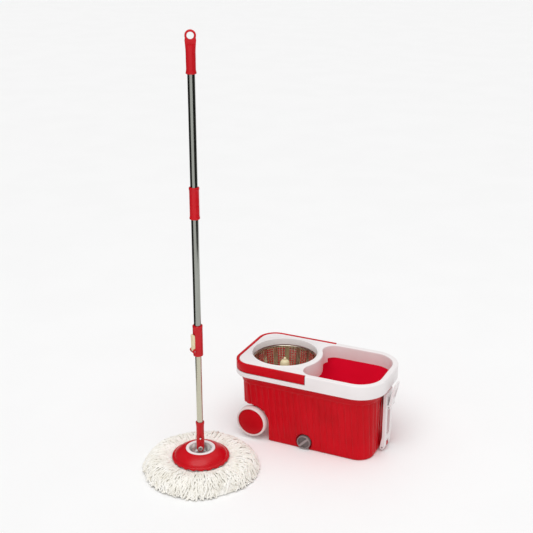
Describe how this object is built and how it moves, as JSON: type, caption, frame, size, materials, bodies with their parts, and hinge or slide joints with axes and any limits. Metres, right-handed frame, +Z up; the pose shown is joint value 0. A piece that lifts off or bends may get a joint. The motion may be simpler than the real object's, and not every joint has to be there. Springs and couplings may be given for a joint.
{
  "type": "spin mop and bucket",
  "caption": "Spin mop with a telescopic press-to-spin handle, beside a wheeled twin-chamber bucket with a steel spin basket, folding tow handle and drain plug.",
  "frame": {"origin": "centre of the tub's flat underside, on the floor", "axes": "+Z up; +X along the bucket's length towards the tow handle; -Y towards the drain plug and the mop"},
  "size_m": [0.6278, 0.6184, 1.2118],
  "materials": {
    "red_plastic": "glossy red injection-moulded polypropylene",
    "white_plastic": "satin white injection-moulded polypropylene",
    "cream_plastic": "satin cream plastic",
    "grey_plastic": "satin grey plastic",
    "nylon": "natural nylon",
    "rubber": "soft black rubber",
    "tube_steel": "bright drawn stainless tube",
    "dark_steel": "plain zinc-plated steel",
    "basket_steel": "bright stamped stainless sheet",
    "chrome": "mirror chrome plating",
    "yarn_white": "loose white microfibre yarn"
  },
  "bodies": {
    "bucket": {"tub": "red_plastic", "top_shell": "white_plastic", "spindle_post": "red_plastic", "spindle_pin": "dark_steel", "spin_bearing": "dark_steel", "bail_pin_near": "dark_steel", "bail_pin_far": "dark_steel", "wheel_axle": "dark_steel", "axle_clip_near": "grey_plastic", "axle_clip_far": "grey_plastic", "tow_pin": "dark_steel"},
    "basket": {"spin_basket": "basket_steel", "basket_hub": "cream_plastic", "hub_nut": "grey_plastic"},
    "bail": {"bail_handle": "red_plastic"},
    "wheel_near": {"tyre_near": "white_plastic", "hub_cap_near": "red_plastic"},
    "wheel_far": {"tyre_far": "white_plastic", "hub_cap_far": "red_plastic"},
    "plug_seal": {"drain_seal": "rubber"},
    "plug": {"drain_plug": "grey_plastic"},
    "tow_link": {"tow_frame": "white_plastic", "grip_pin": "dark_steel"},
    "tow_end": {"tow_grip": "white_plastic"},
    "mop_head": {"mop_plate": "red_plastic", "dish_ring": "white_plastic", "center_dish": "chrome", "pivot_yoke": "grey_plastic", "yarn_ring": "white_plastic", "yarn": "yarn_white"},
    "lower_handle": {"mop_socket": "red_plastic", "socket_rivet": "white_plastic", "pivot_pin": "chrome", "lower_tube": "tube_steel", "drive_nut": "nylon"},
    "swivel": {"swivel_bush": "nylon"},
    "upper_handle": {"clamp_body": "red_plastic", "brake_shoe": "grey_plastic", "lever_pin": "dark_steel", "middle_tube": "tube_steel", "upper_tube": "tube_steel", "rod_anchor": "nylon", "drive_rod": "dark_steel", "middle_grip": "red_plastic", "top_grip": "red_plastic"},
    "lever": {"lock_lever": "cream_plastic"}
  },
  "joints": [
    {"name": "basket_spin", "type": "hinge", "parent": "bucket", "child": "basket", "pos_m": [-0.107, 0, 0.15], "axis": [0, 0, 1], "continuous": true},
    {"name": "bail_lift", "type": "hinge", "parent": "bucket", "child": "bail", "pos_m": [0.0025, 0, 0.2385], "axis": [0, 1, 0], "range_deg": [0, 90]},
    {"name": "wheel_near_spin", "type": "hinge", "parent": "bucket", "child": "wheel_near", "pos_m": [-0.163, -0.1098, 0.0565], "axis": [0, 1, 0], "continuous": true},
    {"name": "wheel_far_spin", "type": "hinge", "parent": "bucket", "child": "wheel_far", "pos_m": [-0.163, 0.1098, 0.0565], "axis": [0, 1, 0], "continuous": true},
    {"name": "drain_out", "type": "slide", "parent": "bucket", "child": "plug_seal", "axis": [0, -1, 0], "range_m": [0, 0.012]},
    {"name": "drain_turn", "type": "hinge", "parent": "plug_seal", "child": "plug", "pos_m": [0.002, -0.1, 0.0225], "axis": [0, -1, 0], "range_deg": [0, 1085]},
    {"name": "tow_fold", "type": "hinge", "parent": "bucket", "child": "tow_link", "pos_m": [0.2135, 0, 0.0145], "axis": [0, 1, 0], "range_deg": [0, 60]},
    {"name": "tow_unfold", "type": "hinge", "parent": "tow_link", "child": "tow_end", "pos_m": [0.2265, 0, 0.142], "axis": [0, 1, 0], "range_deg": [-8, 150]},
    {"name": "mop_lift", "type": "slide", "parent": "bucket", "child": "mop_head", "axis": [0, 0, 1], "range_m": [0, 0.35]},
    {"name": "mop_tilt", "type": "hinge", "parent": "mop_head", "child": "lower_handle", "pos_m": [-0.2183, -0.3271, 0.07], "axis": [0.4848, -0.8746, 0], "range_deg": [-55, 70]},
    {"name": "handle_press", "type": "slide", "parent": "lower_handle", "child": "swivel", "axis": [0, 0, 1], "range_m": [-0.195, 0]},
    {"name": "handle_turn", "type": "hinge", "parent": "swivel", "child": "upper_handle", "pos_m": [-0.2183, -0.3271, 0.356], "axis": [0, 0, 1], "range_deg": [-1010, 0]},
    {"name": "lever_open", "type": "hinge", "parent": "upper_handle", "child": "lever", "pos_m": [-0.22653, -0.33843, 0.367], "axis": [0.809, -0.5878, 0], "range_deg": [0, 85]}
  ],
  "couplings": [
    {"joint": "drain_turn", "follows": "drain_out", "rad_per_m": 1570.8},
    {"joint": "handle_turn", "follows": "handle_press", "rad_per_m": 89.76}
  ]
}
